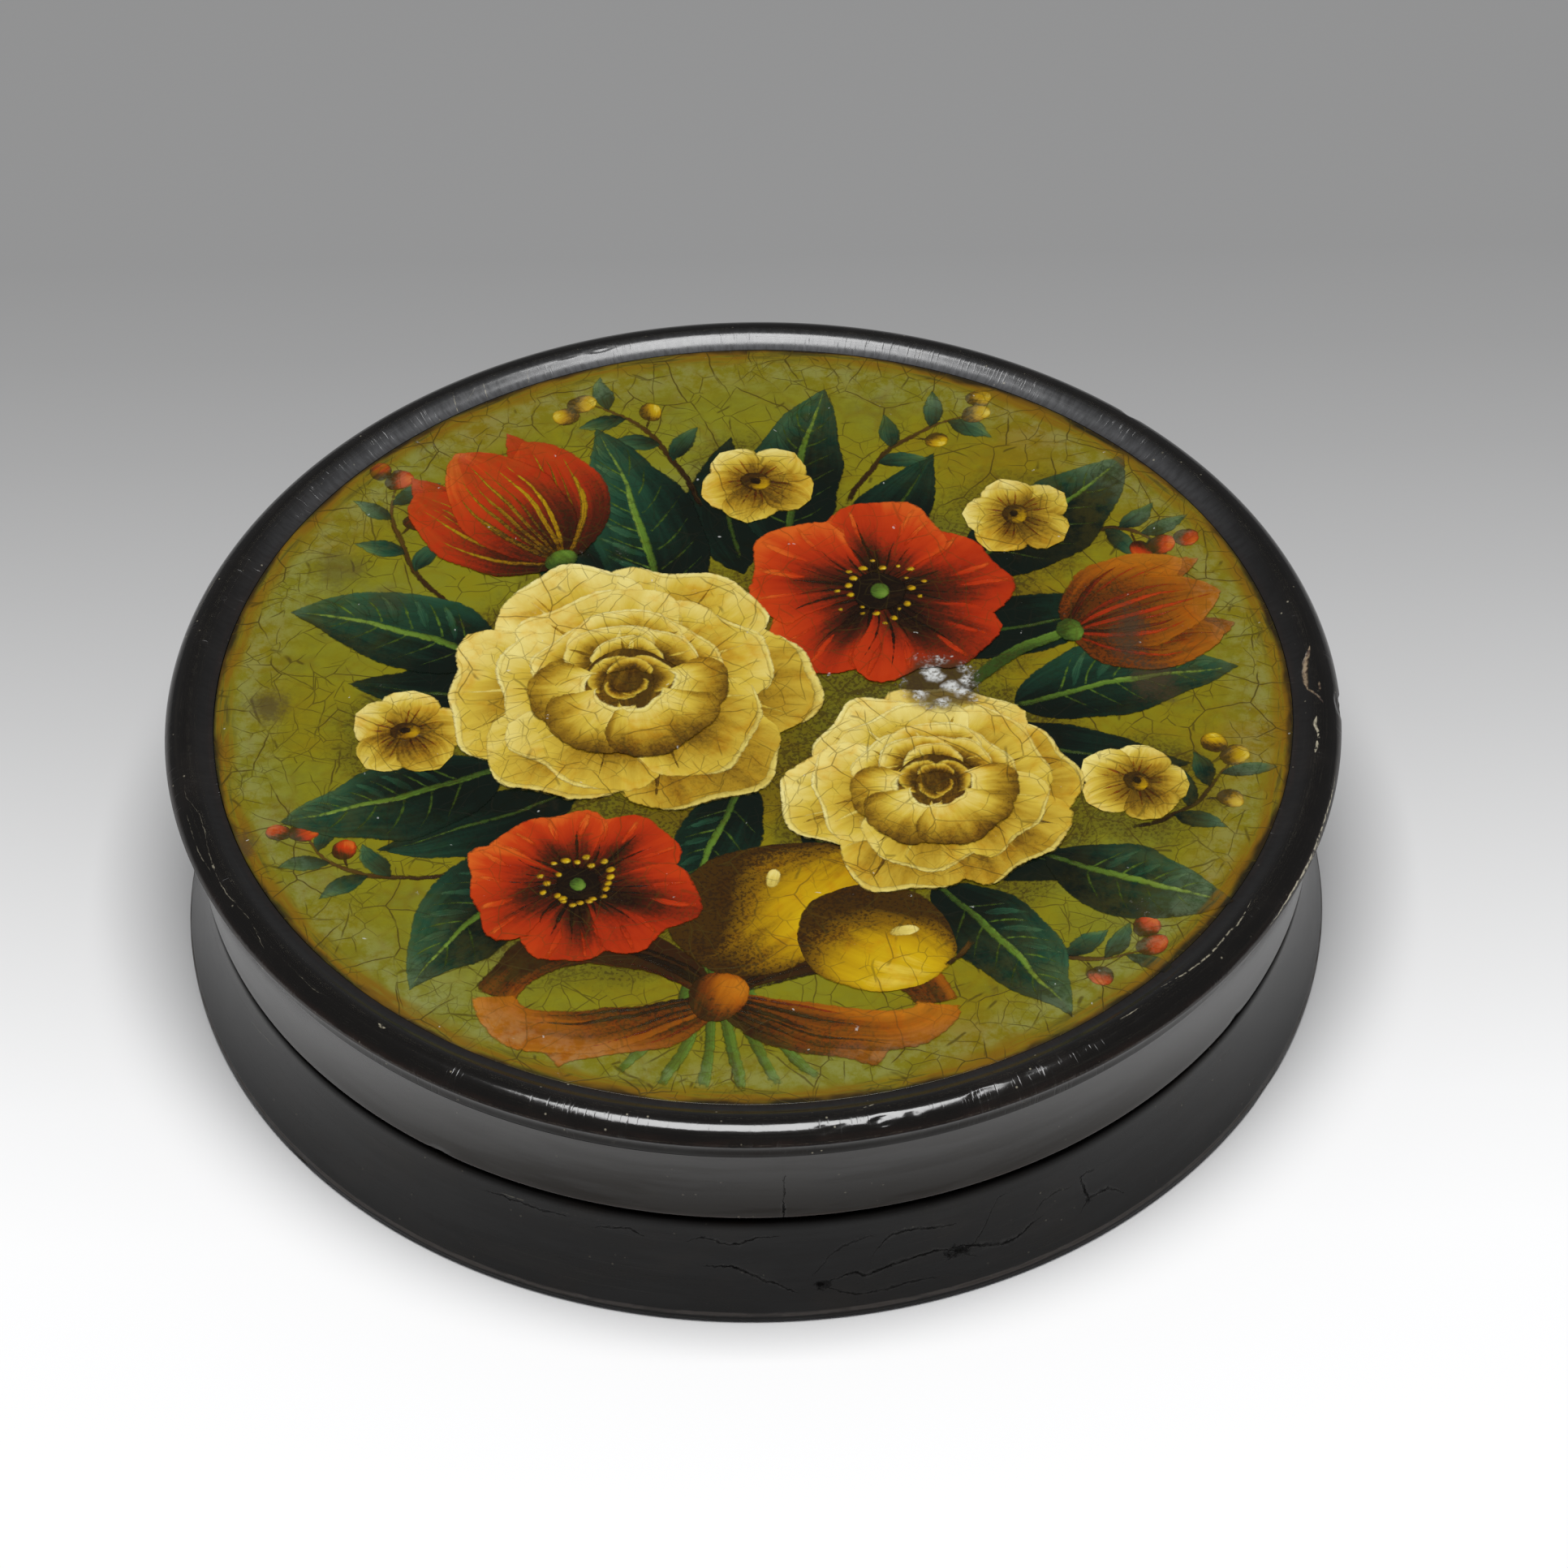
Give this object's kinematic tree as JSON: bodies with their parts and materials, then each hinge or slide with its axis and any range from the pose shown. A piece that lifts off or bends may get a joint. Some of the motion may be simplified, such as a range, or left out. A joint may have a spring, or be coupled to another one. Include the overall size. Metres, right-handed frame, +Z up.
{
  "type": "lacquered snuff box",
  "caption": "Round black-lacquered papier-mache snuff box with waisted sides and a lift-off lid that carries a painted, crackled picture inside a turned bead.",
  "frame": {"origin": "centre of the foot ring's underside, on the plane that the box stands on", "axes": "+Z up along the box's turning axis, +Y towards the top of the picture, +X to the picture's right"},
  "size_m": [0.095, 0.095, 0.0225],
  "materials": {
    "black_lacquer": "polished black lacquer over papier-mache, worn brown along its edges, fine scratches and cracks",
    "inner_lacquer": "thin brown-black lacquer over papier-mache, satin, stained and rubbed by use",
    "painted_picture": "oil paint on an olive ground under yellowed varnish, crackled all over"
  },
  "bodies": {
    "base": {"base_wall": "black_lacquer", "base_floor": "black_lacquer", "neck_ring": "inner_lacquer"},
    "lid": {"lid_top": "black_lacquer", "painted_ground": "painted_picture", "lid_wall": "black_lacquer"}
  },
  "joints": [
    {"name": "lid_lift", "type": "slide", "parent": "base", "child": "lid", "axis": [0, 0, 1], "range_m": [0, 0.035]}
  ]
}
